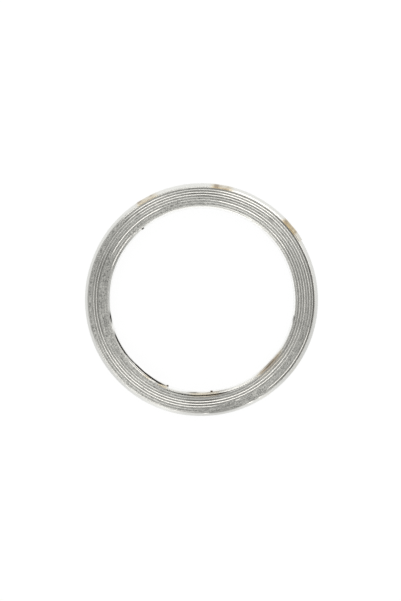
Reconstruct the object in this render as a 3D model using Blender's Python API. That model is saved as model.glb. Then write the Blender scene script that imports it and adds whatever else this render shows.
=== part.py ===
"""Spiral-wound exhaust pipe gasket, in metres, +Z up.

A thin steel strip, bent to a V with its crest outwards, is wound outwards in one flat spiral with a
strip of flexible graphite between its turns. The turns at the hole and the last one outside have no
graphite between them: they lie metal to metal and are held by spot welds. The ring lies flat, its axis
is +Z and the origin is the centre of its lower face. Seen from above the winding runs clockwise from
the hole outwards.
"""

import math

import bmesh
import bpy
from mathutils import Matrix, Vector

# Ring
HOLE_RADIUS = 0.0255
RING_HEIGHT = 0.0053

# Steel strip, measured along the ring's radius
STRIP_THICKNESS = 0.0002
CREST_DEPTH = 0.00103
CREST_FLAT = 0.0008

# Graphite strip
GRAPHITE_THICKNESS = 0.00049
GRAPHITE_PROUD = 0.00008
GRAPHITE_CLEARANCE = 0.00002

# Gap between turns that lie metal to metal
PLAIN_GAP = 0.00003

# Winding, with azimuths in degrees counted anticlockwise from +X
GRAPHITE_TURNS = 7
INNER_PLAIN_TURNS = 2
OUTER_PLAIN_TURNS = 1
INNER_END_AZIMUTH = 249.0
OUTER_END_AZIMUTH = 31.0
CLIMB_SPAN = 60.0
STATIONS_PER_TURN = 40

# Spot welds at the crest, through the two turns at each end of the strip
OUTER_WELD_AZIMUTHS = (40.0, 80.0, 119.5)
INNER_WELD_AZIMUTHS = (242.0, 277.0, 317.0)
WELD_LENGTH = 0.003
WELD_HEIGHT = 0.0006
WELD_PROUD = 0.00005
WELD_ROOT = 0.00004

# Colours in linear RGB, then metallic and roughness
STEEL_FINISH = ((0.56, 0.56, 0.54), 1.0, 0.32)
GRAPHITE_FINISH = ((0.10, 0.10, 0.10), 0.35, 0.62)

MERGE_DISTANCE = 1e-7
WELD_SEGMENTS = 8
SHARP_ANGLE = 20.0


def clear_scene():
    for obj in list(bpy.data.objects):
        bpy.data.objects.remove(obj)


def new_collection(name):
    collection = bpy.data.collections.new(name)
    bpy.context.scene.collection.children.link(collection)
    return collection


def new_material(name, finish):
    colour, metallic, roughness = finish
    material = bpy.data.materials.new(name)
    material.use_nodes = True
    material.diffuse_color = (*colour, 1.0)
    shader = material.node_tree.nodes["Principled BSDF"]
    shader.inputs["Base Color"].default_value = (*colour, 1.0)
    shader.inputs["Metallic"].default_value = metallic
    shader.inputs["Roughness"].default_value = roughness
    return material


def as_guide(obj, collection):
    """Keeps a section or a weld out of the finished part, shown as wire."""
    obj.hide_render = True
    obj.display_type = "WIRE"
    collection.objects.link(obj)
    return obj


def steel_height():
    return RING_HEIGHT - 2 * GRAPHITE_PROUD


def whole_turns():
    return INNER_PLAIN_TURNS + GRAPHITE_TURNS + OUTER_PLAIN_TURNS


def gap_over_turn(turn):
    """The radial gap between a turn, counted from 0 at the hole, and the turn wound over it."""
    with_graphite = INNER_PLAIN_TURNS <= turn < INNER_PLAIN_TURNS + GRAPHITE_TURNS
    return GRAPHITE_THICKNESS if with_graphite else PLAIN_GAP


def turn_radius(turn):
    """The radius of the hole side of a turn's edge, before it climbs onto the next one."""
    return HOLE_RADIUS + sum(STRIP_THICKNESS + gap_over_turn(t) for t in range(turn))


def climb_stations():
    return math.ceil(CLIMB_SPAN / 360.0 * STATIONS_PER_TURN)


def strip_radius(station):
    """The radius of the strip at a station. A turn is round until its last stretch, CLIMB_SPAN long,
    where it climbs past the strip's inner end by one strip and one gap."""
    turn, step = divmod(station, STATIONS_PER_TURN)
    climbed = (step - (STATIONS_PER_TURN - climb_stations())) / climb_stations()
    share = max(0.0, climbed)
    eased = share * share * (3.0 - 2.0 * share)
    return turn_radius(turn) + eased * (turn_radius(turn + 1) - turn_radius(turn))


def station_azimuth(station):
    return math.radians(INNER_END_AZIMUTH - 360.0 * station / STATIONS_PER_TURN)


def station_at(azimuth, turn):
    """The place of an azimuth along a turn, in stations and parts of one."""
    angle = (INNER_END_AZIMUTH - azimuth) % 360.0
    return (turn + angle / 360.0) * STATIONS_PER_TURN


def v_section(name, inner, outer, height, collection):
    """A closed V between two offsets along the radius, with a flat crest towards +X. Its flanks have
    the steel strip's slope at any height."""
    half, tip = height / 2, CREST_FLAT / 2
    slope = CREST_DEPTH / (steel_height() / 2 - tip)
    edge = CREST_DEPTH - slope * (half - tip)
    corners = [
        (inner + edge, -half),
        (outer + edge, -half),
        (outer + CREST_DEPTH, -tip),
        (outer + CREST_DEPTH, tip),
        (outer + edge, half),
        (inner + edge, half),
        (inner + CREST_DEPTH, tip),
        (inner + CREST_DEPTH, -tip),
    ]
    data = bpy.data.curves.new(name, "CURVE")
    data.dimensions = "2D"
    data.fill_mode = "NONE"
    spline = data.splines.new("POLY")
    spline.points.add(len(corners) - 1)
    for point, (x, y) in zip(spline.points, corners):
        point.co = (x, y, 0.0, 1.0)
    spline.use_cyclic_u = True
    return as_guide(bpy.data.objects.new(name, data), collection)


def wound_strip(name, section, first, last, material, collection):
    """A strip swept with a section along the winding, between two stations. The path runs from its
    outer end inwards, so that the section's +X points out of the ring."""
    data = bpy.data.curves.new(name, "CURVE")
    data.dimensions = "3D"
    data.twist_mode = "Z_UP"
    data.bevel_mode = "OBJECT"
    data.bevel_object = section
    data.use_fill_caps = True
    spline = data.splines.new("POLY")
    spline.points.add(last - first)
    for point, station in zip(spline.points, range(last, first - 1, -1)):
        radius, azimuth = strip_radius(station), station_azimuth(station)
        point.co = (radius * math.cos(azimuth), radius * math.sin(azimuth), 0.0, 1.0)
    path = bpy.data.objects.new(name + "_path", data)
    path.location.z = RING_HEIGHT / 2
    collection.objects.link(path)
    bpy.context.view_layer.update()

    graph = bpy.context.evaluated_depsgraph_get()
    mesh = bpy.data.meshes.new_from_object(path.evaluated_get(graph))
    mesh.name = name
    shape = bmesh.new()
    shape.from_mesh(mesh)
    bmesh.ops.remove_doubles(shape, verts=shape.verts, dist=MERGE_DISTANCE)
    bmesh.ops.recalc_face_normals(shape, faces=shape.faces)
    shape.to_mesh(mesh)
    shape.free()
    mesh.shade_smooth()
    mesh.set_sharp_from_angle(angle=math.radians(SHARP_ANGLE))
    mesh.materials.clear()
    mesh.materials.append(material)
    strip = bpy.data.objects.new(name, mesh)
    strip.matrix_world = path.matrix_world
    collection.objects.link(strip)
    bpy.data.objects.remove(path)
    return strip


def crest_point(place):
    """The hole side of the strip's crest at a place along the winding, in stations and parts of one."""
    low = math.floor(place)
    crests = []
    for station in (low, low + 1):
        radius, angle = strip_radius(station) + CREST_DEPTH, station_azimuth(station)
        crests.append(Vector((radius * math.cos(angle), radius * math.sin(angle), RING_HEIGHT / 2)))
    return crests[0].lerp(crests[1], place - low)


def spot_weld(name, azimuth, turn, before, after, collection):
    """A lens-shaped weld at the crest, through a turn and the one wound over it. It starts a given
    distance before the hole side of the first and ends a given distance after the far side of the
    second."""
    place = station_at(azimuth, turn)
    inner, outer = crest_point(place), crest_point(place + STATIONS_PER_TURN)
    outwards = Vector((inner.x, inner.y, 0.0)).normalized()
    start = inner - outwards * before
    end = outer + outwards * (STRIP_THICKNESS + after)
    size = ((end - start).length / 2, WELD_LENGTH / 2, WELD_HEIGHT / 2, 1.0)
    mesh = bpy.data.meshes.new(name)
    shape = bmesh.new()
    bmesh.ops.create_uvsphere(
        shape,
        u_segments=WELD_SEGMENTS,
        v_segments=WELD_SEGMENTS // 2,
        radius=1.0,
        matrix=Matrix.Diagonal(size),
    )
    shape.to_mesh(mesh)
    shape.free()
    weld = bpy.data.objects.new(name, mesh)
    weld.location = (start + end) / 2
    weld.rotation_euler.z = math.atan2(outwards.y, outwards.x)
    return as_guide(weld, collection)


def spot_welds(collection):
    """The welds at both ends of the strip. Each stands proud of the turn that the electrode pressed on
    and stops short of the far side of the other."""
    for i, azimuth in enumerate(OUTER_WELD_AZIMUTHS):
        spot_weld(f"outer_weld_{i + 1}", azimuth, whole_turns() - 1,
                  -WELD_ROOT, WELD_PROUD, collection)
    for i, azimuth in enumerate(INNER_WELD_AZIMUTHS):
        spot_weld(f"inner_weld_{i + 1}", azimuth, 0, WELD_PROUD, -WELD_ROOT, collection)


def join_welds(strip, welds):
    modifier = strip.modifiers.new("welds", "BOOLEAN")
    modifier.operation = "UNION"
    modifier.solver = "EXACT"
    modifier.operand_type = "COLLECTION"
    modifier.collection = welds


def build():
    clear_scene()
    gasket = new_collection("exhaust_gasket")
    guides = new_collection("sections")
    welds = new_collection("welds")

    steel_section = v_section("steel_section", 0.0, STRIP_THICKNESS, steel_height(), guides)
    outer_end = round(station_at(OUTER_END_AZIMUTH, whole_turns()))
    steel = wound_strip("steel_winding", steel_section, 0, outer_end,
                        new_material("stainless_steel", STEEL_FINISH), gasket)
    spot_welds(welds)
    join_welds(steel, welds)

    graphite_section = v_section(
        "graphite_section",
        STRIP_THICKNESS + GRAPHITE_CLEARANCE,
        STRIP_THICKNESS + GRAPHITE_THICKNESS - GRAPHITE_CLEARANCE,
        RING_HEIGHT,
        guides,
    )
    graphite_start = INNER_PLAIN_TURNS * STATIONS_PER_TURN
    graphite_end = (INNER_PLAIN_TURNS + GRAPHITE_TURNS) * STATIONS_PER_TURN - climb_stations()
    wound_strip("graphite_filler", graphite_section, graphite_start, graphite_end,
                new_material("flexible_graphite", GRAPHITE_FINISH), gasket)


build()
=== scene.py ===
"""Dressed model of a spiral-wound exhaust gasket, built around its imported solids.

A V-section steel strip and a flexible graphite strip are wound together and lie flat on a pale table.
Lengths are in metres, except where mm are named. Azimuths are in degrees, counted anticlockwise from
+X as seen from above.
"""

import logging
import math
from dataclasses import dataclass
from enum import Enum

import bmesh
import bpy
import numpy as np
from mathutils import Matrix, Vector


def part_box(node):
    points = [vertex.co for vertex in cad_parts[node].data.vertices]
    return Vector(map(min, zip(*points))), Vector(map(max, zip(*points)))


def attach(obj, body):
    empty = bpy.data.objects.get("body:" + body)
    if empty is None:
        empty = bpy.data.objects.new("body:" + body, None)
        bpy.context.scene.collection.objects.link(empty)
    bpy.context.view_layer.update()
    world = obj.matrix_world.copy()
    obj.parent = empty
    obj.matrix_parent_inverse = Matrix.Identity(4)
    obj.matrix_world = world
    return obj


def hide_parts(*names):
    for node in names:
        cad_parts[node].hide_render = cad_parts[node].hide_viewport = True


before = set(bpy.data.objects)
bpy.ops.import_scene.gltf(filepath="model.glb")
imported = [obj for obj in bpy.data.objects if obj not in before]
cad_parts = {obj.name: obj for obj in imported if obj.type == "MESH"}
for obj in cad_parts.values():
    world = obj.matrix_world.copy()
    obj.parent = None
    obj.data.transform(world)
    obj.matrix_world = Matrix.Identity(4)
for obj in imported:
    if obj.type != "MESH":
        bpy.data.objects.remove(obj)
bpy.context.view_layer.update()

LOG = logging.getLogger("exhaust_gasket")
MM = 0.001

Array = np.ndarray
Material, World, Socket = bpy.types.Material, bpy.types.World, bpy.types.NodeSocket
Colour = tuple[float, float, float]
Row = tuple[float, ...]


class Slot(Enum):
    """Names of the record's material slots."""

    STEEL = "stainless_steel"
    GRAPHITE = "flexible_graphite"


class Mark(Enum):
    """The kinds of mark on the ring. The value is the mesh attribute that carries it."""

    STRAW = "straw_tint"
    BROWN = "brown_tint"
    SOOT = "soot"


def smooth_step(low: float, high: float, value: Array) -> Array:
    """Eases from 0 at low to 1 at high, where low may be the larger one."""
    share = np.clip((value - low) / (high - low), 0.0, 1.0)
    return share * share * (3.0 - 2.0 * share)


def within(low: float, high: float, outside: float, inside: float, value: Array) -> Array:
    """1 between low and high and 0 beyond, eased over a little outside and inside each."""
    rising = smooth_step(low - outside, low + inside, value)
    return rising * smooth_step(high + outside, high - inside, value)


def turned_from(azimuth: Array, centre: float) -> Array:
    """Signed angles from one azimuth to others, from -180 to 180 degrees."""
    return (azimuth - centre + 180.0) % 360.0 - 180.0


def direction(azimuth: float, elevation: float) -> Vector:
    """The unit vector towards an azimuth and an elevation in degrees."""
    a, e = math.radians(azimuth), math.radians(elevation)
    return Vector((math.cos(a) * math.cos(e), math.sin(a) * math.cos(e), math.sin(e)))


def linked(name: str, data: bpy.types.ID, *materials: Material) -> bpy.types.Object:
    """Makes an object.

    Args:
        name: Its name.
        data: Its mesh, lamp or camera.
        *materials: The materials of its mesh.

    Returns:
        The new object, linked to the scene.
    """
    obj = bpy.data.objects.new(name, data)
    bpy.context.scene.collection.objects.link(obj)
    for material in materials:
        data.materials.append(material)
    return obj


def ripple(value: Array, seed: int, octaves: int = 4) -> Array:
    """Smooth pseudo-random waves, the same on each run.

    Args:
        value: Places along a line, where about one wave passes in each unit.
        seed: Number that picks the waves.
        octaves: How many finer waves are added.

    Returns:
        Values from about -1 to 1.
    """
    phases = np.random.default_rng(seed).uniform(0.0, 2.0 * math.pi, (octaves, 3))
    total = np.zeros_like(value)
    for octave, phase in enumerate(phases):
        step = 1.9**octave
        wave = sum(np.sin(value * step * rate + p) for rate, p in zip((4.1, 6.7, 9.3), phase))
        total += wave / 3.0 / step**0.5
    return total / 1.6


@dataclass(frozen=True)
class Wave:
    """A wave of the turns round the ring, which drifts from turn to turn. Lengths are in mm."""

    height: float
    count: float
    phase: float
    drift: float

    def at(self, angle: Array, depth: Array) -> Array:
        """Offsets in mm, at angles in radians and depths from the hole."""
        return self.height * np.sin(self.count * angle + self.phase + self.drift * depth)


@dataclass(frozen=True)
class Bend:
    """A stretch where the turns are pushed off their circle. Lengths are in mm."""

    azimuth: float
    half_span: float
    offset: float
    whole_to: float = 8.0
    gone_from: float = 9.0

    def at(self, azimuth: Array, depth: Array | float = 0.0) -> Array:
        """Offsets in mm, outwards positive, which fade out between two depths from the hole."""
        along = np.exp(-((turned_from(azimuth, self.azimuth) / self.half_span) ** 2))
        return self.offset * along * smooth_step(self.gone_from, self.whole_to, depth)


@dataclass(frozen=True)
class Winding:
    """The spiral that both strips follow. Places along it are turns, counted from the inner end.

    All turns share the waves and bends. The partings are where only the innermost one stands off.
    """

    hole_radius: float
    strip: float = 0.2 * MM
    graphite: float = 0.49 * MM
    plain_gap: float = 0.03 * MM
    inner_plain_turns: int = 2
    graphite_turns: int = 7
    outer_plain_turns: int = 1
    inner_end: float = 249.0
    outer_end: float = 31.0
    climb_span: float = 60.0
    end_lift: float = 0.07 * MM
    end_lift_span: float = 14.0
    waves: tuple[Wave, ...] = (
        Wave(0.022, 2, 1.9, 0), Wave(0.012, 5, 0.6, 0.35), Wave(0.008, 11, 2.2, -0.5),
    )
    bends: tuple[Bend, ...] = (
        Bend(317, 10, -0.2, 0.4, 2.6),
        Bend(68, 12, -0.09, 4.6, 5.4),
        Bend(270, 13, -0.11),
        Bend(279.5, 7, -0.1, 0.6, 1.15),
        Bend(340, 18, 0.09, 4.6, 5.4),
        Bend(60, 50, 0.045, 0.2, 1.1),
    )
    partings: tuple[Bend, ...] = (Bend(228, 8, -0.13), Bend(150, 9, -0.085), Bend(190.5, 3.2, -0.06))

    def whole_turns(self) -> int:
        """The strip's whole turns, before the last part of one."""
        return self.inner_plain_turns + self.graphite_turns + self.outer_plain_turns

    def length(self) -> float:
        """The strip's whole length in turns."""
        return self.whole_turns() + (self.inner_end - self.outer_end) / 360.0

    def turn_radii(self) -> Array:
        """Radii of the hole side of each turn's edge.

        Returns:
            One radius for each turn, and two more for the climb past the last one.
        """
        turn = np.arange(self.whole_turns() + 2)
        filled = (turn >= self.inner_plain_turns) & (turn < self.inner_plain_turns + self.graphite_turns)
        pitch = self.strip + np.where(filled, self.graphite, self.plain_gap)
        return self.hole_radius + np.concatenate([[0.0], np.cumsum(pitch)])

    def radius(self, place: Array) -> Array:
        """Radius of the strip's hole side before any waviness.

        Args:
            place: Places along the strip, in turns.

        Returns:
            Radii in metres.
        """
        turn = np.floor(place).astype(int)
        climb = self.climb_span / 360.0
        eased = smooth_step(1.0 - climb, 1.0, place - turn)
        radii = self.turn_radii()
        return radii[turn] + eased * (radii[turn + 1] - radii[turn])

    def azimuth(self, place: Array) -> Array:
        """Azimuths of places along the strip, from 0 to 360 degrees."""
        return (self.inner_end - 360.0 * place) % 360.0

    def place_at(self, azimuth: float, turn: int) -> float:
        """The place of an azimuth on a turn."""
        return turn + ((self.inner_end - azimuth) % 360.0) / 360.0

    def dent(self, azimuth: Array, radius: Array) -> Array:
        """Waves and bends that all turns share.

        Args:
            azimuth: Azimuths in degrees.
            radius: Radii in metres.

        Returns:
            Radial offsets in metres, outwards positive.
        """
        angle = np.radians(azimuth)
        depth = (radius - self.hole_radius) / MM
        waved = sum(wave.at(angle, depth) for wave in self.waves)
        bent = sum(bend.at(azimuth, depth) for bend in self.bends)
        return (waved + bent) * MM

    def sprung(self, place: Array) -> Array:
        """Offsets of the outer free end, and of the innermost turn where it stands off the next one.

        Args:
            place: Places along the strip, in turns.

        Returns:
            Radial offsets in metres, outwards positive.
        """
        from_end = (self.length() - place) * 360.0
        lifted = self.end_lift * smooth_step(self.end_lift_span, 0.0, from_end)
        first_turn = smooth_step(1.02, 0.97, place)
        parted = sum(parting.at(self.azimuth(place)) for parting in self.partings)
        return lifted + first_turn * parted * MM


@dataclass(frozen=True)
class VSection:
    """The V that the strips are bent to, with a rounded crest outwards."""

    height: float
    depth: float = 1.03 * MM
    crest_round: float = 0.42 * MM

    def reach(self, level: Array) -> Array:
        """How far the V stands out at a level.

        Args:
            level: Heights from the middle of the section.

        Returns:
            Offsets outwards, 0 at the steel's edges.
        """
        edge = math.hypot(self.height / 2.0, self.crest_round) - self.crest_round
        slope = self.depth / edge
        return self.depth - slope * (np.hypot(level, self.crest_round) - self.crest_round)


@dataclass(frozen=True)
class HeatMark:
    """The straw tint that one spot weld leaves on the turns around it. Lengths are in mm.

    Its ends fade out over a little outside and inside the inner and outer radius.
    """

    azimuth: float
    inner: float
    outer: float
    half_length: float
    strength: float
    fade: tuple[float, float] = (0.2, 0.1)
    mark: Mark = Mark.STRAW

    def tint(self, azimuth: Array, radius: Array) -> Array:
        """Strength of the tint from 0 to 1, at azimuths in degrees and radii in mm."""
        along = np.abs(np.radians(turned_from(azimuth, self.azimuth))) * radius / self.half_length
        return self.strength * smooth_step(1.3, 0.75, along) * within(
            self.inner, self.outer, *self.fade, radius
        )


@dataclass(frozen=True)
class SoftSpot:
    """A burnt brown spot or a black spot, with a soft edge. Lengths are in mm."""

    azimuth: float
    radius: float
    half_length: float
    half_width: float
    strength: float
    mark: Mark = Mark.BROWN

    def tint(self, azimuth: Array, radius: Array) -> Array:
        """Strength of the mark from 0 to 1, at azimuths in degrees and radii in mm."""
        along = np.radians(turned_from(azimuth, self.azimuth)) * radius / self.half_length
        return self.strength * np.exp(-(along**4) - ((radius - self.radius) / self.half_width) ** 4)


@dataclass(frozen=True)
class Stretch:
    """A stretch of a turn that is worn in some way. It starts at an azimuth of the turn and runs on
    clockwise, outwards along the strip."""

    turn: int
    start: float
    sweep: float
    strength: float
    longest_fade: float = 3.0

    @classmethod
    def of_turns(cls, turns: dict[int, tuple[Row, ...]]) -> tuple["Stretch", ...]:
        """The stretches of some turns, from rows of a start and a sweep in degrees, and a strength."""
        return tuple(cls(turn, *row) for turn, rows in turns.items() for row in rows)

    def wear_at(self, place: Array, winding: Winding) -> Array:
        """How worn the strip is, with soft ends.

        Args:
            place: Places along the strip, in turns.
            winding: The winding that the strip follows.

        Returns:
            Wear from 0 to the stretch's strength.
        """
        along = (place - winding.place_at(self.start, self.turn)) * 360.0
        fade = min(self.longest_fade, self.sweep / 3.0)
        return self.strength * within(0.0, self.sweep, fade, fade, along)


class ToneStops:
    """A value that changes round the ring, as stops at azimuths with straight runs between them."""

    def __init__(self, *stops: Row) -> None:
        """Keeps the stops, which are pairs of an azimuth in degrees and a value."""
        self.places, self.values = zip(*stops)

    def at(self, azimuth: Array) -> Array:
        """The value at azimuths in degrees."""
        return np.interp(azimuth, self.places, self.values, period=360.0)


@dataclass(frozen=True)
class Smear:
    """A patch of the seal face where graphite is pressed over the steel edges. Lengths are in mm.

    It fades out over a few degrees outside and inside its span.
    """

    azimuth: float
    half_span: float
    inner: float
    outer: float
    amount: float
    fade: tuple[float, float] = (12.0, 8.0)
    soft: float = 0.35

    def cover(self, azimuth: Array, radius: Array) -> Array:
        """Cover from 0 to 1, at azimuths in degrees and radii in mm."""
        along = within(-self.half_span, self.half_span, *self.fade, turned_from(azimuth, self.azimuth))
        return self.amount * along * within(self.inner, self.outer, self.soft, self.soft, radius)


@dataclass(frozen=True)
class FaceWearAndLight:
    """Wear, smears and tints of the ring, worked out for any point of it.

    The outer, wall and face tones are painted light and shade round the ring, of the outermost flank, of
    the hole's wall and of the seal face. The wall's foot is the height in mm up to which the wall mirrors
    the table, where its tone is raised as a painted reflection, and the black reach is how far the black
    marks go over the innermost edge, as a share of its width.
    """

    winding: Winding
    smears: tuple[Smear, ...]
    rubbed_highlight: tuple[Stretch, ...]
    dusty: tuple[Stretch, ...]
    hollows: tuple[Stretch, ...]
    blackened: tuple[Stretch, ...]
    marks: tuple[HeatMark | SoftSpot, ...]
    outer_tone: ToneStops
    wall_tone: ToneStops
    face_tone: ToneStops
    wall_foot: ToneStops
    black_reach: ToneStops

    def strongest(self, stretches: tuple[Stretch, ...], place: Array) -> Array:
        """The strongest wear of some stretches, from 0 to 1."""
        return np.maximum.reduce([stretch.wear_at(place, self.winding) for stretch in stretches])

    def rub_and_highlight(self, place: Array) -> Array:
        """How far the steel edges are polished by rubbing and painted with a highlight, from 0 to 1."""
        return self.strongest(self.rubbed_highlight, place)

    def dust(self, place: Array) -> Array:
        """Graphite dust on the steel edges where none is pressed over them, from 0 to 1."""
        return self.strongest(self.dusty, place)

    def hollow(self, place: Array) -> Array:
        """How far the graphite has crumbled out between the turns, from 0 to 1, which also darkens it as
        painted shade.
        """
        return self.strongest(self.hollows, place)

    def soot(self, place: Array, side: Array) -> Array:
        """Black marks from 0 to 1 on the hole side (0), which reach over the edge to the far side (1)."""
        reach = self.black_reach.at(self.winding.azimuth(place))
        return self.strongest(self.blackened, place) * smooth_step(reach + 0.1, reach - 0.1, side)

    def smear(self, place: Array, radius: Array) -> Array:
        """Graphite pressed over the face.

        Args:
            place: Places along the graphite strip, in turns.
            radius: Radii in metres.

        Returns:
            Cover from 0 to 1, broken up by fine ripples and cleared where the edges are polished by
            rubbing.
        """
        azimuth = self.winding.azimuth(place)
        total = np.maximum.reduce([patch.cover(azimuth, radius / MM) for patch in self.smears])
        grain = ripple(place * 126.0, 11) * 0.32 + ripple(place * 21.0, 5) * 0.18
        clean = np.maximum(self.rub_and_highlight(place), self.rub_and_highlight(place + 1.0))
        return np.clip(total * (1.0 + grain), 0.0, 1.0) * (1.0 - clean)

    def tints(self, azimuth: Array, radius: Array) -> dict[str, Array]:
        """Heat tints and burnt spots.

        Args:
            azimuth: Azimuths in degrees.
            radius: Radii in metres, of all points of a mesh.

        Returns:
            The marks from 0 to 1, by attribute name.
        """
        total = {mark.value: np.zeros_like(radius) for mark in Mark}
        for spot in self.marks:
            kind = spot.mark.value
            total[kind] = np.maximum(total[kind], spot.tint(azimuth, radius / MM))
        return total


@dataclass
class SweptMesh:
    """A closed mesh whose rings of points follow a winding, with a cap at each end.

    Arrays have a row for each station and a column for each point of the section, or one of either.
    The places are turns along the strip, and across are the points' places round its section.
    """

    name: str
    winding: Winding
    place: Array
    radius: Array
    height: Array
    across: Array
    attributes: dict[str, Array]
    sharp_angle: float = 38.0

    def vectors(self, *parts: Array) -> Array:
        """A vector for each point of the mesh, from its three parts."""
        return np.stack([np.broadcast_to(part, self.radius.shape) for part in parts], -1)

    def faces(self) -> list[tuple[int, ...]]:
        """The faces between the rings, and the two caps.

        Returns:
            The points of each face.
        """
        count, size = self.radius.shape
        here = np.arange(count - 1)[:, None] * size
        point = np.arange(size)
        after = (point + 1) % size
        quads = np.stack([here + point, here + after, here + size + after, here + size + point], -1)
        caps = [range(size - 1, -1, -1), range((count - 1) * size, count * size)]
        return [tuple(face) for face in quads.reshape(-1, 4).tolist() + caps]

    def build(self, material: Material) -> bpy.types.Object:
        """Makes the object with its attributes.

        Args:
            material: Its material.

        Returns:
            The new object.
        """
        angle = np.radians(self.winding.azimuth(self.place))
        points = self.vectors(self.radius * np.cos(angle), self.radius * np.sin(angle), self.height)
        mesh = bpy.data.meshes.new(self.name)
        mesh.from_pydata(points.reshape(-1, 3).tolist(), [], self.faces())
        shape = bmesh.new()
        shape.from_mesh(mesh)
        bmesh.ops.recalc_face_normals(shape, faces=shape.faces)
        shape.to_mesh(mesh)
        shape.free()
        mesh.shade_smooth()
        mesh.set_sharp_from_angle(angle=math.radians(self.sharp_angle))
        for name, values in self.attributes.items():
            layer = mesh.attributes.new(name, "FLOAT", "POINT")
            wide = np.broadcast_to(values, self.radius.shape)
            layer.data.foreach_set("value", wide.astype(np.float32).ravel())
        run = self.place * 2.0 * math.pi * self.winding.hole_radius
        strip_place = self.vectors(run, self.across, np.floor(self.place) * MM)
        layer = mesh.attributes.new("strip_place", "FLOAT_VECTOR", "POINT")
        layer.data.foreach_set("vector", strip_place.astype(np.float32).ravel())
        return linked(self.name, mesh, material)


class NodeGraph:
    """Writes the nodes of one material or world."""

    def __init__(self, owner: Material | World, output: str = "OutputMaterial") -> None:
        """Starts an empty tree.

        Args:
            owner: The new material or world.
            output: The type of its output node, without the ShaderNode prefix.
        """
        owner.use_nodes = True
        self.owner = owner
        self.tree = owner.node_tree
        self.tree.nodes.clear()
        self.output = self.add(output)

    def add(self, kind: str, inputs: dict | None = None, **settings: object) -> bpy.types.Node:
        """Adds a node.

        Args:
            kind: The node's type, without its ShaderNode prefix.
            inputs: Values or sockets for its inputs, by name or number.
            **settings: The node's own settings.

        Returns:
            The new node.
        """
        node = self.tree.nodes.new("ShaderNode" + kind)
        for name, value in settings.items():
            setattr(node, name, value)
        for name, value in (inputs or {}).items():
            if isinstance(value, Socket):
                self.tree.links.new(value, node.inputs[name])
            else:
                node.inputs[name].default_value = value
        return node

    def math(self, operation: str, first: object, second: object = 0.0) -> Socket:
        """The result of a Math node."""
        return self.add("Math", {0: first, 1: second}, operation=operation).outputs[0]

    def times(self, first: object, second: object) -> Socket:
        """Two values multiplied."""
        return self.math("MULTIPLY", first, second)

    def ramp(self, value: object, low: float, high: float, start: float, end: float) -> Socket:
        """A value mapped so that low becomes start and high becomes end, and kept between them."""
        return self.add("MapRange", {0: value, 1: low, 2: high, 3: start, 4: end}).outputs[0]

    def mix(self, share: object, first: object, second: object, blend: str = "MIX") -> Socket:
        """Mixes two colours.

        Args:
            share: How much of the second, from 0 to 1.
            first: Colour or socket.
            second: Colour or socket.
            blend: The way of mixing.

        Returns:
            The mixed colour.
        """
        inputs = [(*value, 1.0) if isinstance(value, tuple) else value for value in (first, second)]
        sockets = {0: share, 6: inputs[0], 7: inputs[1]}
        return self.add("Mix", sockets, data_type="RGBA", blend_type=blend).outputs[2]

    def attribute(self, name: str, output: str = "Fac") -> Socket:
        """The socket of a mesh attribute."""
        return self.add("Attribute", attribute_name=name, attribute_type="GEOMETRY").outputs[output]

    def place(self) -> Socket:
        """The place on the object, in metres."""
        return self.add("TexCoord").outputs["Object"]

    def height(self) -> Socket:
        """Height above the table, in metres."""
        return self.add("SeparateXYZ", {0: self.place()}).outputs["Z"]

    def noise(self, place: object, scale: float, detail: float = 3.0) -> Socket:
        """Noise from 0 to 1 at a place."""
        node = self.add("TexNoise", {"Vector": place, "Scale": scale, "Detail": detail, "Roughness": 0.6})
        return node.outputs["Fac"]

    def streaks(self, place: object, scale: tuple[float, ...], detail: float) -> Socket:
        """Noise from 0 to 1 with a scale for each axis."""
        drawn_out = self.add("VectorMath", {0: place, 1: scale}, operation="MULTIPLY").outputs[0]
        return self.noise(drawn_out, 1.0, detail)

    def surface(
        self, colour: object, rough: object, metallic: float, relief: object, strength: float, depth: float
    ) -> Material:
        """Finishes a material with a Principled shader.

        Args:
            colour: Its colour.
            rough: Its roughness.
            metallic: How much of a metal it is, from 0 to 1.
            relief: The height of its fine relief.
            strength: How strongly the relief shows, from 0 to 1.
            depth: The depth of the relief in mm.

        Returns:
            The material.
        """
        bump = self.add("Bump", {"Strength": strength, "Distance": depth * MM, "Height": relief})
        inputs = {"Base Color": colour, "Roughness": rough, "Metallic": metallic, "Normal": bump.outputs[0]}
        return self.finish(self.add("BsdfPrincipled", inputs))

    def finish(self, shader: bpy.types.Node) -> Material | World:
        """Joins a shader to the output and returns the material or world."""
        self.tree.links.new(shader.outputs[0], self.output.inputs["Surface"])
        return self.owner


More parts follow.
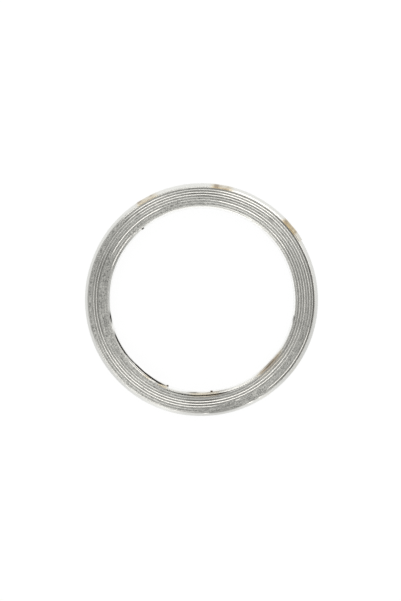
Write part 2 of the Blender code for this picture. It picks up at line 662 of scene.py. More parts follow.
@dataclass(frozen=True)
class SteelFinish:
    """Thin rolled stainless strip: bright flanks, edges that are dulled or polished by rubbing and painted
    with a highlight, heat tints and black marks.
    """

    plain_edge: Colour = (0.64, 0.634, 0.60)
    # Painted highlight colour of the edges, where they are also polished by rubbing.
    rubbed_highlight: Colour = (0.99, 0.965, 0.91)
    dusty: Colour = (0.35, 0.35, 0.33)
    straw: Colour = (0.54, 0.435, 0.245)
    brown: Colour = (0.25, 0.183, 0.115)
    soot: Colour = (0.014, 0.012, 0.008)

    def flank(self, g: NodeGraph, foot: Socket, rolled: Socket) -> Socket:
        """The colour of the flanks, which are bright at the foot, where they mirror the table.

        Args:
            g: The steel's nodes.
            foot: The height up to which the table is mirrored.
            rolled: The streaks from rolling.

        Returns:
            The colour's socket.
        """
        # The tone is painted light and shade round the ring.
        tone = g.attribute("tone")
        # Painted reflection: towards the foot the tone is raised to white, as the wall mirrors the table.
        rim = g.ramp(g.height(), g.times(foot, 0.75), g.times(foot, 1.15), 1.0, 0.0)
        tone = g.math("ADD", tone, g.times(rim, g.math("SUBTRACT", 1.0, tone)))
        warm = g.times(tone, g.ramp(tone, 0.8, 0.99, 0.955, 0.99))
        flank = g.add("CombineColor", {0: tone, 1: tone, 2: warm}).outputs[0]
        streak = g.ramp(rolled, 0.3, 0.7, 1.01, 0.955)
        return g.add("VectorMath", {0: flank, "Scale": streak}, operation="SCALE").outputs[0]

    def sheared_edge(self, g: NodeGraph, specks: Socket) -> Socket:
        """The colour of the edges in the seal face, polished by rubbing and painted with a highlight, or
        dusty.

        Args:
            g: The steel's nodes.
            specks: Noise that breaks up the dust.

        Returns:
            The colour's socket.
        """
        # Painted highlight on the edges, where they are also polished by rubbing.
        top = g.mix(g.attribute("rub_and_highlight"), self.plain_edge, self.rubbed_highlight)
        # Painted light and shade round the ring, over the edge colour.
        top = g.mix(1.0, top, g.attribute("face_tone"), "MULTIPLY")
        dust = g.times(g.attribute("dust"), g.ramp(specks, 0.35, 0.65, 0.6, 0.92))
        return g.mix(dust, top, self.dusty)

    def build(self) -> Material:
        """Makes the material.

        Returns:
            The steel's material, which reads the strip's own attributes.
        """
        g = NodeGraph(bpy.data.materials.new("rolled_stainless_strip"))
        strip, foot = g.attribute("strip_place", "Vector"), g.attribute("foot")
        rolled = g.streaks(strip, (240.0, 9000.0, 3000.0), 4.0)
        patches = g.streaks(strip, (300.0, 700.0, 3000.0), 3.0)
        specks = g.streaks(strip, (700.0, 4000.0, 3000.0), 2.0)
        colour = g.mix(g.attribute("edge"), self.flank(g, foot, rolled), self.sheared_edge(g, specks))
        burnt = g.ramp(g.height(), 0.2 * MM, 1.2 * MM, 0.0, 1.0)
        straw = g.times(g.attribute(Mark.STRAW.value), g.ramp(patches, 0.3, 0.6, 0.5, 1.0))
        colour = g.mix(g.times(straw, burnt), colour, self.straw)
        brown = g.times(g.attribute(Mark.BROWN.value), g.ramp(specks, 0.3, 0.6, 0.6, 1.0))
        colour = g.mix(g.times(brown, burnt), colour, self.brown)
        # The black marks are painted only above the wall's foot.
        above = g.ramp(g.height(), g.times(foot, 0.8), g.times(foot, 1.2), 0.0, 1.0)
        soot = g.times(g.attribute(Mark.SOOT.value), above)
        colour = g.mix(soot, colour, self.soot)
        rough = g.math("ADD", g.ramp(rolled, 0.25, 0.75, 0.24, 0.36), g.times(soot, 0.3))
        return g.surface(colour, rough, 1.0, rolled, 0.3, 0.004)


@dataclass(frozen=True)
class GraphiteFinish:
    """Pressed flexible graphite: matt, with painted shade on its walls in the joints and in its groove and
    hollows, granular and silvery where it is burnished.
    """

    # Near-black painted shade for the graphite's walls, groove and hollows.
    deep: Colour = (0.038, 0.035, 0.029)
    body: Colour = (0.230, 0.229, 0.213)
    flake: Colour = (0.37, 0.367, 0.34)
    pit: Colour = (0.12, 0.12, 0.111)
    rust: Colour = (0.20, 0.15, 0.10)

    def build(self) -> Material:
        """Makes the material.

        Returns:
            The graphite's material, which reads the filler's own attributes.
        """
        g = NodeGraph(bpy.data.materials.new("pressed_graphite"))
        place = g.place()
        drawn = g.streaks(g.attribute("strip_place", "Vector"), (650.0, 5200.0, 3000.0), 3.0)
        grain = g.noise(place, 2100.0, 2.0)
        flakes = g.add("TexVoronoi", {"Vector": place, "Scale": 2900.0}, feature="F1")
        flake_tone = g.add("SeparateColor", {0: flakes.outputs["Color"]}).outputs[0]
        pressed = g.ramp(g.attribute("smeared"), 0.0, 0.8, 0.25, 1.0)
        colour = g.mix(g.ramp(drawn, 0.42, 0.64, 0.0, 0.9), self.body, self.flake)
        colour = g.mix(g.times(g.ramp(grain, 0.48, 0.32, 0.0, 0.9), pressed), colour, self.pit)
        colour = g.mix(g.times(g.ramp(flake_tone, 0.78, 0.9, 0.0, 0.9), pressed), colour, self.flake)
        colour = g.mix(g.times(g.ramp(flake_tone, 0.18, 0.08, 0.0, 0.8), pressed), colour, self.pit)
        colour = g.mix(g.times(g.attribute(Mark.STRAW.value), 0.15), colour, self.rust)
        colour = g.mix(g.times(g.attribute(Mark.BROWN.value), 0.6), colour, self.rust)
        # Painted light and shade of the face round the ring.
        colour = g.mix(1.0, colour, g.attribute("face_tone"), "MULTIPLY")
        # Painted shade: the walls, the groove and the hollows take the near-black deep colour, as do the
        # black marks.
        top = g.times(g.attribute("top"), g.math("SUBTRACT", 1.0, g.attribute(Mark.SOOT.value)))
        colour = g.mix(top, self.deep, colour)
        rough = g.ramp(flake_tone, 0.0, 1.0, 0.62, 0.42)
        relief = g.math("ADD", g.times(grain, 0.6), g.times(flake_tone, 0.25))
        return g.surface(colour, rough, 0.35, relief, 0.5, 0.008)


@dataclass(frozen=True)
class BeadFinish:
    """Metal that a spot weld throws out."""

    name: str = "burnt_bead"
    dark: Colour = (0.04, 0.029, 0.02)
    light: Colour = (0.15, 0.105, 0.065)

    def build(self) -> Material:
        """Makes the material.

        Returns:
            The bead's material.
        """
        g = NodeGraph(bpy.data.materials.new(self.name))
        scale = g.noise(g.place(), 9000.0, 3.0)
        colour = g.mix(g.ramp(scale, 0.35, 0.65, 0.0, 1.0), self.dark, self.light)
        return g.surface(colour, g.ramp(scale, 0.3, 0.7, 0.55, 0.35), 0.7, scale, 0.7, 0.02)


@dataclass(frozen=True)
class TableFinish:
    """The pale table. Seen or mirrored it is white, and it keeps a faint shadow of the ring."""

    tone: float = 0.86
    fibre_tone: float = 0.985
    white_share: float = 0.93

    def build(self) -> Material:
        """Makes the material.

        Returns:
            The table's material.
        """
        g = NodeGraph(bpy.data.materials.new("pale_table"))
        path = g.add("LightPath").outputs
        mirrored = g.math("MAXIMUM", path["Is Glossy Ray"], path["Is Transmission Ray"])
        seen = g.times(path["Is Camera Ray"], self.white_share)
        fibre = g.noise(g.place(), 60.0, 2.0)
        tone = g.mix(fibre, (self.tone,) * 3, (self.tone * self.fibre_tone,) * 3)
        matt = g.add("BsdfDiffuse", {"Color": tone}).outputs[0]
        white = g.add("Emission", {"Color": (1.0, 1.0, 1.0, 1.0), "Strength": 1.0}).outputs[0]
        return g.finish(g.add("MixShader", {0: g.math("MAXIMUM", seen, mirrored), 1: matt, 2: white}))


@dataclass
class SteelWinding:
    """The wound steel strip, with its sheared edges, free ends and weld marks."""

    winding: Winding
    section: VSection
    wear_and_light: FaceWearAndLight
    middle: float
    finish: SteelFinish = SteelFinish()
    weld_azimuths: tuple[float, ...] = (40.0, 80.0, 119.5)
    stations_per_turn: int = 250
    fine_reach: float = 5.5
    fine_step: float = 0.5
    least_step: float = 0.0004
    edge_round: float = 0.05 * MM
    waviness: float = 0.004 * MM
    unevenness: float = 0.007 * MM
    dimple_depth: float = 0.05 * MM
    dimple_half_length: float = 1.3 * MM
    dimple_half_height: float = 0.5 * MM
    plain_dust: float = 0.12
    smeared_dust: float = 0.7

    def places(self) -> Array:
        """Places of the stations, closer together at the outer welds.

        Returns:
            Rising places along the strip, in turns.
        """
        length = self.winding.length()
        even = np.arange(0.0, length, 1.0 / self.stations_per_turn)
        near = np.arange(-self.fine_reach, self.fine_reach, self.fine_step) / 360.0
        fine = [centre + near for centre in self.weld_places()]
        every = np.concatenate([even, *fine, [length]])
        every = np.unique(np.round(every[(every >= 0.0) & (every <= length)], 6))
        keep = np.concatenate([[True], np.diff(every) > self.least_step])
        keep[-1] = True
        return every[keep]

    def weld_places(self) -> list[float]:
        """Places of the outer spot welds along the strip, in turns."""
        turn = self.winding.whole_turns()
        return [self.winding.place_at(azimuth, turn) for azimuth in self.weld_azimuths]

    def outline(self) -> Array:
        """The strip's section as a closed loop.

        Returns:
            For all points the side, 0 at the hole side and 1 at the far side, then the level from the
            middle, then how far the point is on a sheared edge, from 0 to 1.
        """
        half, round_off = self.section.height / 2.0, self.edge_round
        wall = np.array([-0.97, -0.8, -0.55, -0.3, -0.16, -0.07, 0.07, 0.16, 0.3, 0.55, 0.8, 0.97])
        wall = wall * (half - round_off)
        top = [(0.0, half - round_off), (0.14, half - 0.3 * round_off), (0.5, half)]
        top += [(0.86, half - 0.3 * round_off), (1.0, half - round_off)]
        points = [(0.0, level, 0.0) for level in wall]
        points += [(side, level, 1.0) for side, level in top]
        points += [(1.0, level, 0.0) for level in wall[::-1]]
        points += [(side, -level, 1.0) for side, level in top[::-1]]
        return np.array(points).T

    def dimples(self, place: Array, level: Array) -> Array:
        """The electrode's dimples on the crest of the outer turn.

        Args:
            place: Places along the strip.
            level: Levels from the section's middle.

        Returns:
            Depths inwards in metres.
        """
        depth = np.zeros(np.broadcast(place, level).shape)
        for centre in self.weld_places():
            along = (place - centre) * 2.0 * math.pi * self.winding.hole_radius / self.dimple_half_length
            far = np.hypot(along, level / self.dimple_half_height)
            depth += smooth_step(1.0, 0.45, far) - 0.25 * np.exp(-(((far - 1.25) / 0.25) ** 2))
        return depth * self.dimple_depth

    def dust(self, place: Array, radius: Array) -> Array:
        """Graphite dust on the edges, more where graphite is pressed over them.

        Args:
            place: Places along the strip.
            radius: Radii in metres.

        Returns:
            Dust from 0 to 1.
        """
        smeared = np.maximum(self.wear_and_light.smear(place, radius), self.wear_and_light.smear(place - 1.0, radius))
        dusted = (self.plain_dust + self.smeared_dust * smeared) * (1.0 - self.wear_and_light.rub_and_highlight(place))
        return np.maximum(dusted, self.wear_and_light.dust(place))

    def edge_tone(self, azimuth: Array, place: Array) -> Array:
        """Painted light and shade of the edges round the ring, where only plain edges follow the face
        around them.
        """
        return self.wear_and_light.face_tone.at(azimuth) * (1.0 - self.wear_and_light.rub_and_highlight(place)) + self.wear_and_light.rub_and_highlight(place)

    def tone(self, azimuth: Array, side: Array) -> Array:
        """Painted light and shade of the flanks round the ring, as their brightness on the hole side (0)
        and the far side (1).
        """
        return np.where(side < 0.5, self.wear_and_light.wall_tone.at(azimuth), self.wear_and_light.outer_tone.at(azimuth))

    def build(self) -> bpy.types.Object:
        """Makes the wound strip.

        Returns:
            The new object.
        """
        place = self.places()[:, None]
        side, level, edge = self.outline()
        base = self.winding.radius(place)
        azimuth = self.winding.azimuth(place)
        radius = base + self.section.reach(level) + side * self.winding.strip
        radius = radius + self.winding.dent(azimuth, base) + self.winding.sprung(place)
        radius = radius + self.waviness * ripple(place * 210.0, 3)
        radius = radius - self.dimples(place, level) * (side > 0.5)
        lift = self.unevenness * ripple(place * 160.0, 8) * edge * np.sign(level)
        marks = self.wear_and_light.tints(azimuth, radius)
        marks[Mark.SOOT.value] = np.maximum(marks[Mark.SOOT.value], self.wear_and_light.soot(place, side))
        attributes = {
            "edge": edge,
            "rub_and_highlight": self.wear_and_light.rub_and_highlight(place),
            "dust": self.dust(place, base),
            "tone": self.tone(azimuth, side),
            "foot": self.wear_and_light.wall_foot.at(azimuth) * MM,
            "face_tone": self.edge_tone(azimuth, place),
            **marks,
        }
        height = self.middle + level + lift
        across = level + side * self.section.height
        mesh = SweptMesh("wound_steel_strip", self.winding, place, radius, height, across, attributes)
        return mesh.build(self.finish.build())


@dataclass
class GraphiteFiller:
    """The wound graphite strip, proud of the steel and pressed over its edges in patches.

    Elsewhere its face lies lower, with a crown that a groove splits and with hollows.
    """

    winding: Winding
    section: VSection
    wear_and_light: FaceWearAndLight
    height: float
    finish: GraphiteFinish = GraphiteFinish()
    stations_per_turn: int = 480
    clearance: float = 0.012 * MM
    lip: float = 0.1 * MM
    edge_drop: float = 0.09 * MM
    edge_fill: float = 0.1 * MM
    edge_loss: float = 0.1 * MM
    crown_drop: float = 0.01 * MM
    crown_loss: float = 0.18 * MM
    groove_depth: float = 0.07 * MM
    grain: float = 0.005 * MM
    sharp_angle: float = 80.0
    seed: int = 4

    def outline(self) -> Array:
        """The strip's section as a closed loop.

        Returns:
            For all points the share of the way across, the wall's level where it is on a wall, the
            share of the crown's height, the lip's direction, the share of the groove's depth, and
            which face it is on: 1 upper, -1 lower, 0 wall.
        """
        wall = np.array([-0.85, -0.3, 0.0, 0.3, 0.85]) * self.section.height / 2.0
        half = [(0, 0, 0, 0), (0, 0.35, -1, 0), (0.1, 0.8, -0.7, 0), (0.3, 1, 0, 0), (0.42, 0.95, 0, 0.35)]
        other_half = [(1.0 - share, crown, -lip, deep) for share, crown, lip, deep in half[::-1]]
        top = [*half, (0.5, 0.95, 0, 1), *other_half]
        bottom = [(1, 0.3), (0.8, 0.9), (0.2, 0.9), (0, 0.3)]
        rows = [(0, level, 0, 0, 0, 0) for level in wall]
        rows += [(share, 0, crown, lip, deep, 1) for share, crown, lip, deep in top]
        rows += [(1, level, 0, 0, 0, 0) for level in wall[::-1]]
        rows += [(share, 0, crown, 0, 0, -1) for share, crown in bottom]
        return np.array(rows, float).T

    def grains(self, shape: tuple[int, int]) -> Array:
        """Seeded random unevenness for a number of stations and points, a little smoothed."""
        noise = np.random.default_rng(self.seed).normal(0.0, 1.0, shape)
        return (noise + np.roll(noise, 1, 0) + np.roll(noise, -1, 0)) / 1.9

    def face_level(self, crown: Array, groove: Array, smear: Array, hollow: Array, noise: Array) -> Array:
        """Levels of the face over the steel's edge.

        Args:
            crown: Shares of the crown's height.
            groove: Shares of the groove's depth.
            smear: Graphite pressed over the face, from 0 to 1.
            hollow: How far it has crumbled out, from 0 to 1.
            noise: The grains.

        Returns:
            Levels in metres, which stop at the strip's height.
        """
        proud = (self.height - self.section.height) / 2.0
        low = self.edge_fill * smear - self.edge_drop - self.edge_loss * hollow
        high = proud * smear - self.crown_drop * (1.0 - smear) - self.crown_loss * hollow
        top = low + (high - low) * crown - self.groove_depth * groove + self.grain * noise * (crown > 0.2)
        return np.minimum(top, proud)

    def build(self) -> bpy.types.Object:
        """Makes the wound filler.

        Returns:
            The new object.
        """
        first, turns = self.winding.inner_plain_turns, self.winding.graphite_turns
        place = np.linspace(first, first + turns, turns * self.stations_per_turn + 1)[:-1, None]
        share, wall_level, crown, lip, groove, face = self.outline()
        azimuth = self.winding.azimuth(place)
        inner = self.winding.radius(place) + self.winding.strip + self.clearance
        outer = self.winding.radius(place + 1.0) - self.clearance
        inner = inner + self.winding.dent(azimuth, inner - self.winding.strip)
        outer = outer + self.winding.dent(azimuth, outer)
        smear = self.wear_and_light.smear(place, (inner + outer) / 2.0)
        hollow = self.wear_and_light.hollow(place)
        noise = self.grains((len(place), len(share)))
        groove = groove * (1.0 - smear) * (0.75 + 0.25 * ripple(place * 40.0, 17))
        half = self.section.height / 2.0
        top = self.face_level(crown, groove, smear, hollow, noise)
        level = np.where(face == 0.0, wall_level, face * (half + top))
        lap = lip * self.lip * smooth_step(0.3, 0.95, smear) * (0.9 + 0.1 * noise)
        radius = inner + share * (outer - inner) + lap + self.section.reach(np.clip(level, -half, half))
        # Painted shade: the top share, which keeps the graphite's own colour against the near-black deep
        # colour, falls to 0 on the walls, drops in the groove and drops again in the hollows.
        tone = np.clip(crown * 1.4, 0.0, 1.0) * np.abs(face) * (1.0 - 0.55 * groove)
        attributes = {
            "top": tone * (1.0 - 0.85 * hollow),
            "smeared": smear,
            # Painted light and shade of the face round the ring.
            "face_tone": self.wear_and_light.face_tone.at(azimuth),
            **self.wear_and_light.tints(azimuth, radius),
        }
        height = self.height / 2.0 + level
        name = "wound_graphite_strip"
        mesh = SweptMesh(name, self.winding, place, radius, height, radius, attributes, self.sharp_angle)
        return mesh.build(self.finish.build())


@dataclass(frozen=True)
class Bead:
    """One bead of metal on the hole's wall. Lengths are in mm."""

    azimuth: float
    radius: float
    level: float
    size: tuple[float, float, float]

    def place(self) -> Matrix:
        """The bead's centre, with its first axis outwards."""
        turn = Matrix.Rotation(math.radians(self.azimuth), 4, "Z")
        return turn @ Matrix.Translation((self.radius * MM, 0.0, self.level * MM))


@dataclass
class WeldBeads:
    """The beads that the inner spot welds throw out at the hole."""

    name: str
    beads: tuple[Bead, ...]
    finish: BeadFinish = BeadFinish()
    unevenness: float = 0.09
    seed: int = 21

    def build(self) -> bpy.types.Object:
        """Makes the beads.

        Returns:
            One object with all beads.
        """
        random = np.random.default_rng(self.seed)
        shape = bmesh.new()
        for bead in self.beads:
            place = bead.place()
            scale = Matrix.Diagonal((*(size * MM for size in bead.size), 1.0))
            made = bmesh.ops.create_icosphere(shape, subdivisions=3, radius=1.0, matrix=place @ scale)
            centre = place.translation
            for vertex in made["verts"]:
                vertex.co = centre + (vertex.co - centre) * float(1.0 + self.unevenness * random.normal())
        bmesh.ops.smooth_vert(shape, verts=shape.verts, factor=0.5)
        mesh = bpy.data.meshes.new(self.name)
        shape.to_mesh(mesh)
        shape.free()
        mesh.shade_smooth()
        return linked(self.name, mesh, self.finish.build())


@dataclass(frozen=True)
class Lamp:
    """A square soft lamp that faces the ring."""

    name: str
    azimuth: float
    power: float
    elevation: float = 50.0
    size: float = 0.9
    distance: float = 0.7

    def build(self) -> None:
        """Adds the lamp to the scene."""
        data = bpy.data.lights.new(self.name, "AREA")
        data.shape = "SQUARE"
        data.size = self.size
        data.energy = self.power
        lamp = linked(self.name, data)
        away = direction(self.azimuth, self.elevation)
        lamp.location = away * self.distance
        lamp.rotation_euler = away.to_track_quat("Z", "Y").to_euler()


@dataclass
class Studio:
    """The table, the lamps and the camera over the ring."""

    middle: float
    distance: float = 0.25
    tilt: float = 1.2
    tilt_azimuth: float = 50.0
    frame_height: float = 0.16598
    aim: tuple[float, float] = (-0.322 * MM, -0.12 * MM)
    sensor: float = 36.0
    table_half: float = 3.0
    horizon: float = 0.3
    overhead: float = 0.68
    lamps: tuple[Lamp, ...] = (Lamp("key_lamp", 80.0, 4.0), Lamp("fill_lamp", 260.0, 2.6))

    def build_table(self) -> None:
        """Makes the table, which isn't part of the ring."""
        half = self.table_half
        corners = [(-half, -half, 0.0), (half, -half, 0.0), (half, half, 0.0), (-half, half, 0.0)]
        mesh = bpy.data.meshes.new("table")
        mesh.from_pydata(corners, [], [(0, 1, 2, 3)])
        table = linked("table", mesh, TableFinish().build())

    def build_world(self) -> None:
        """Makes a soft room, white at the horizon and grey overhead."""
        g = NodeGraph(bpy.data.worlds.new("soft_room"), "OutputWorld")
        up = g.add("SeparateXYZ", {0: g.add("TexCoord").outputs["Generated"]}).outputs["Z"]
        strength = g.ramp(up, self.horizon, 1.0, 1.0, self.overhead)
        room = g.add("Background", {"Color": (1.0, 1.0, 1.0, 1.0), "Strength": strength})
        bpy.context.scene.world = g.finish(room)

    def build_camera(self) -> None:
        """Makes the camera, which looks down on the ring."""
        data = bpy.data.cameras.new("camera")
        data.sensor_width = self.sensor
        data.lens = self.sensor * self.distance / self.frame_height
        data.clip_start, data.clip_end = 0.01, 20.0
        camera = linked("camera", data)
        back = direction(self.tilt_azimuth, 90.0 - self.tilt)
        target = Vector((*self.aim, self.middle))
        right = Vector((0.0, 1.0, 0.0)).cross(back).normalized()
        turn = Matrix((right, back.cross(right), back)).transposed().to_4x4()
        camera.matrix_world = Matrix.Translation(target + back * self.distance) @ turn
        bpy.context.scene.camera = camera

    def build(self) -> None:
        """Makes the whole studio."""
        self.build_table()
        self.build_world()
        for lamp in self.lamps:
            lamp.build()
        self.build_camera()
        bpy.context.scene.view_settings.view_transform = "Standard"


def each(kind: type, *rows: tuple) -> tuple:
    """One object of a class for each row of its fields."""
    return tuple(kind(*row) for row in rows)


def smeared_patches() -> tuple[Smear, ...]:
    """The patches where graphite is pressed over the steel edges."""
    return each(
        Smear,
        (106, 24, 25.9, 28.1, 0.75), (165, 42, 25.9, 28.4, 0.9), (227, 24, 26, 27.4, 0.85),
        (165, 36, 30.3, 31.1, 0.95), (222, 30, 30.3, 30.9, 0.8), (289, 23, 28.9, 31.4, 1),
        (331, 22, 28.5, 30.1, 0.85), (58, 20, 26.4, 26.9, 0.65), (56, 20, 27.9, 28.7, 0.6),
        (108, 12, 30.9, 31.6, 0.5),
    )


def rubbed_highlight_stretches() -> tuple[Stretch, ...]:
    """The stretches where the steel edge is polished by rubbing and painted bright as a highlight."""
    return Stretch.of_turns({
        0: ((239, 16, 0.7), (131.5, 2.4, 0.7), (128, 64, 0.3), (299, 15, 0.3)),
        1: ((240, 19, 0.75), (136, 2.2, 0.9), (131, 2.2, 0.9), (303, 20, 0.55)),
        2: ((160, 22, 1),),
        3: ((45, 14, 0.8), (10, 20, 0.3), (344, 24, 0.25), (322, 24, 0.4)),
        4: (
            (245, 20, 0.3), (153, 39, 1), (104, 22, 0.25), (80, 26, 0.8), (346, 18, 0.3),
            (330, 66, 0.95), (268, 28, 0.65),
        ),
        5: (
            (238, 24, 0.2), (125, 20, 0.25), (60, 26, 0.6), (10, 20, 0.4), (344, 30, 0.25),
            (314, 50, 0.85), (268, 32, 0.85),
        ),
        6: ((236, 28, 0.85), (204, 40, 0.3), (126, 62, 0.35), (291, 2, 0.8), (278, 74, 0.72)),
        7: (
            (198, 26, 0.35), (132, 30, 0.6), (100, 22, 0.35), (80, 28, 0.9), (54, 46, 0.35),
            (10, 22, 0.3),
        ),
        8: ((128, 18, 0.7), (80, 30, 0.75), (345, 38, 0.85), (262, 30, 0.2)),
        9: (
            (224, 22, 0.4), (134, 10, 0.5), (100, 12, 0.25), (76, 34, 0.85), (34, 36, 0.35),
            (302, 2, 0.8), (297, 3, 0.9), (273.5, 2.4, 0.9), (258, 12, 0.3),
        ),
        10: ((74, 28, 0.15),),
    })


def dusty_stretches() -> tuple[Stretch, ...]:
    """The stretches where graphite dust lies on the steel edge."""
    return Stretch.of_turns({
        0: (
            (162, 26, 1), (130, 18, 0.65), (112, 34, 0.25), (78, 10, 0.3), (50, 50, 0.5),
            (350, 30, 0.5),
        ),
        1: ((134, 60, 0.95), (86, 24, 0.95), (62, 22, 0.45), (40, 78, 0.8)),
        2: (
            (118, 28, 0.4), (88, 18, 0.4), (54, 20, 0.3), (350, 26, 0.4), (304, 14, 0.5),
            (268, 18, 0.7),
        ),
        3: ((92, 46, 0.55), (308, 50, 0.6)),
        5: ((100, 28, 0.75), (72, 36, 0.35)),
        6: ((74, 30, 0.3),),
    })


def crumbled_stretches() -> tuple[Stretch, ...]:
    """The stretches where graphite has crumbled out over a turn, which also get painted shade."""
    return Stretch.of_turns({
        2: ((34, 50, 0.12), (349, 24, 0.2), (252, 34, 0.2)),
        3: ((234, 26, 0.2), (38, 56, 0.2), (279, 18, 0.6)),
        4: ((84, 36, 0.25), (36, 54, 0.16), (279, 16, 0.6)),
        5: ((200, 50, 0.4), (92, 40, 0.35), (24, 44, 0.16), (279, 16, 0.4)),
        6: ((200, 44, 0.3), (98, 20, 0.4), (92, 38, 0.3), (20, 44, 0.25)),
        7: ((138, 20, 0.3), (100, 20, 0.3), (24, 50, 0.25)),
        8: ((96, 22, 0.2), (74, 26, 0.25), (48, 62, 0.65), (348, 36, 0.5), (252, 36, 0.3)),
    })


def blackened_stretches() -> tuple[Stretch, ...]:
    """The stretches of the hole's wall that are painted black."""
    return Stretch.of_turns({
        0: (
            (247, 24.5, 1), (223.5, 6, 0.87), (218.5, 17.8, 1), (194, 6, 1), (162, 24, 0.35),
            (267.5, 5, 0.6),
        ),
    })


def heat_marks(hole: float) -> tuple[HeatMark, ...]:
    """The heat marks of the spot welds, at the outer turns and at the hole, whose radius is in mm."""
    rim = 32.2
    return each(
        HeatMark,
        (39.7, 30.6, rim, 2.55, 1), (33, 30.9, rim, 1.4, 0.32), (79.8, 30.6, rim, 2.8, 0.7),
        (118.6, 30.7, rim, 3, 0.48), (121.4, 31, rim, 1.3, 0.66), (303.5, 31.3, rim, 1.8, 0.12),
        (325, 31.2, rim, 2.4, 0.15), (234, hole, 26.2, 1, 0.5), (245.5, hole, 26.3, 1.2, 0.55),
        (271.5, hole, 26.5, 3.8, 0.4), (317, hole, 26.8, 4.6, 0.35),
    )


def burnt_spots() -> tuple[SoftSpot, ...]:
    """The brown spots in the heat marks."""
    return each(
        SoftSpot,
        (36, 31.75, 0.35, 0.55, 0.8), (38.2, 31.55, 0.25, 0.5, 0.7), (39.5, 30.98, 2.5, 0.26, 0.35),
        (41.3, 31.45, 1.5, 0.55, 0.45), (42.4, 31.2, 0.8, 0.3, 0.75), (43, 31.6, 0.55, 0.55, 0.85),
        (77.6, 31, 0.9, 0.24, 0.7), (80.2, 30.9, 1.9, 0.26, 0.45), (80.7, 31.35, 0.7, 0.5, 0.35),
        (82.5, 31.45, 0.75, 0.75, 0.95), (116, 31.9, 0.5, 0.25, 0.7), (118, 30.95, 2.4, 0.28, 0.25),
        (122.4, 31.95, 0.7, 0.42, 0.85), (277, 26.1, 2.9, 0.22, 0.85), (311.5, 25.95, 1.4, 0.16, 0.6),
        (316.5, 25.66, 4, 0.32, 0.85), (318.5, 26.2, 3, 0.35, 0.45), (322.5, 26.15, 1.2, 0.2, 0.6),
    )


def black_spots() -> tuple[SoftSpot, ...]:
    """The dark spots and lines on the seal face and the outer flank."""
    soot = Mark.SOOT
    return each(
        SoftSpot,
        (49.5, 29, 1, 0.4, 0.35, soot), (76.8, 31.8, 0.35, 0.2, 0.35, soot),
        (126.5, 29.15, 0.5, 0.5, 0.3, soot), (159.5, 28.4, 0.4, 0.3, 0.3, soot),
        (195, 30.95, 1, 0.3, 0.3, soot), (242.3, 25.66, 0.4, 0.2, 0.6, soot),
        (263, 26.25, 3.2, 0.22, 0.4, soot), (279.5, 26.11, 3.2, 0.19, 0.7, soot),
        (281, 31.02, 4.6, 0.24, 0.35, soot), (305, 30.5, 0.4, 0.5, 0.3, soot),
        (317, 25.57, 1.7, 0.2, 0.5, soot), (348.6, 25.79, 0.9, 0.17, 0.75, soot),
    )


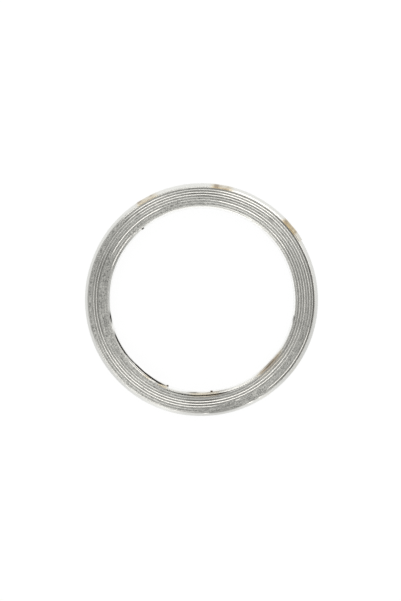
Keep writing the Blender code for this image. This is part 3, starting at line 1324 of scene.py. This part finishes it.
def face_wear_and_light(winding: Winding) -> FaceWearAndLight:
    """The worn stretches, marks and painted light and shade of this ring.

    Args:
        winding: The ring's winding.

    Returns:
        Its worn stretches, marks and spots, and its tones of painted light and shade round the ring.
    """
    return FaceWearAndLight(
        winding,
        smears=smeared_patches(),
        rubbed_highlight=rubbed_highlight_stretches(),
        dusty=dusty_stretches(),
        hollows=crumbled_stretches(),
        blackened=blackened_stretches(),
        marks=heat_marks(winding.hole_radius / MM) + burnt_spots() + black_spots(),
        # Painted light and shade of the outermost flank round the ring.
        outer_tone=ToneStops(
            (15, 0.69), (50, 0.77), (62, 0.78), (90, 0.8), (110, 0.8), (128, 0.77), (150, 0.73),
            (185, 0.665), (208, 0.645), (222, 0.645), (234, 0.72), (250, 0.85), (262, 0.69),
            (280, 0.64), (302, 0.77), (320, 0.575), (335, 0.58), (350, 0.64),
        ),
        # Painted light and shade of the hole's wall round the ring.
        wall_tone=ToneStops(
            (110, 0.99), (122, 0.98), (134, 0.54), (178, 0.47), (190, 0.6), (197, 0.88), (207, 0.88),
            (211, 0.7), (220, 0.8), (252, 0.92), (268, 0.8), (280, 0.66), (297, 0.8), (309, 0.8),
            (316, 0.52), (323, 0.75), (335, 0.85), (352, 0.99),
        ),
        # Painted light and shade of the seal face round the ring.
        face_tone=ToneStops(
            (5, 0.92), (28, 0.96), (58, 1.14), (72, 1.08), (88, 0.82), (100, 0.85), (125, 0.97),
            (165, 0.84), (190, 0.93), (232, 1.1), (252, 0.95), (272, 0.78), (288, 0.88), (305, 1.02),
            (325, 0.96), (350, 0.92),
        ),
        wall_foot=ToneStops(
            (120, 0.6), (135, 0.65), (150, 0.95), (165, 0.7), (180, 0.55), (192, 0.55), (203, 0.72),
            (215, 0.66), (225, 0.42), (232, 0.55), (236, 0.48), (241, 0.62), (246, 0.8), (256, 0.95),
            (261, 0.7), (266, 0.5), (272, 0.75), (285, 0.6), (308, 0.8), (316, 0.7), (323, 0.85),
            (328, 0.75), (345, 0.6),
        ),
        black_reach=ToneStops(
            (185, 0.1), (191, 0.3), (198, 0.3), (206, 0.8), (214, 0.6), (220, 0.15), (228, 0.15),
            (233, 0.3), (236, 0.7), (240, 0.5), (242.5, 0.95), (247, 0.5), (253, 0.1),
        ),
    )


def finished(obj: bpy.types.Object, slot: Slot, *nodes: str) -> None:
    """Fixes a piece to the frame and reports it.

    Args:
        obj: The piece.
        slot: Its material slot in the record; not used.
        *nodes: The CAD nodes that it stands for.
    """
    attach(obj, "root")
    if nodes:
        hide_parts(*nodes)
    triangles = sum(len(face.vertices) - 2 for face in obj.data.polygons)
    LOG.info("%s: %d triangles, in place of %s", obj.name, triangles, ", ".join(nodes) or "nothing")


def main() -> None:
    """Builds the ring's pieces and the studio in order."""
    logging.basicConfig(level=logging.INFO, format="%(name)s: %(message)s")
    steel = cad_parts["steel_winding"].data.vertices
    hole_radius = min(math.hypot(v.co.x, v.co.y) for v in steel)
    ring_low, ring_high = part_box("graphite_filler")
    steel_low, steel_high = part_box("steel_winding")
    middle = (ring_low.z + ring_high.z) / 2.0
    winding = Winding(round(hole_radius, 5))
    section = VSection(steel_high.z - steel_low.z)
    wear_and_light = face_wear_and_light(winding)
    LOG.info("hole radius %.2f mm, ring height %.2f mm", winding.hole_radius / MM, ring_high.z / MM)

    strip = SteelWinding(winding, section, wear_and_light, middle)
    finished(strip.build(), Slot.STEEL, "steel_winding")
    filler = GraphiteFiller(winding, section, wear_and_light, ring_high.z - ring_low.z)
    finished(filler.build(), Slot.GRAPHITE, "graphite_filler")
    burnt = each(Bead, (248.3, 25.72, 0.72, (0.17, 0.34, 0.18)), (276.1, 25.6, 0.58, (0.2, 0.33, 0.2)))
    finished(WeldBeads("burnt_weld_beads", burnt).build(), Slot.STEEL)
    dull = each(Bead, (129.6, 25.64, 0.66, (0.13, 0.42, 0.15)))
    dull_finish = BeadFinish("dull_bead", (0.18, 0.18, 0.17), (0.42, 0.42, 0.40))
    finished(WeldBeads("dull_weld_bead", dull, dull_finish).build(), Slot.STEEL)
    Studio(middle).build()


if __name__ == "__main__":
    main()
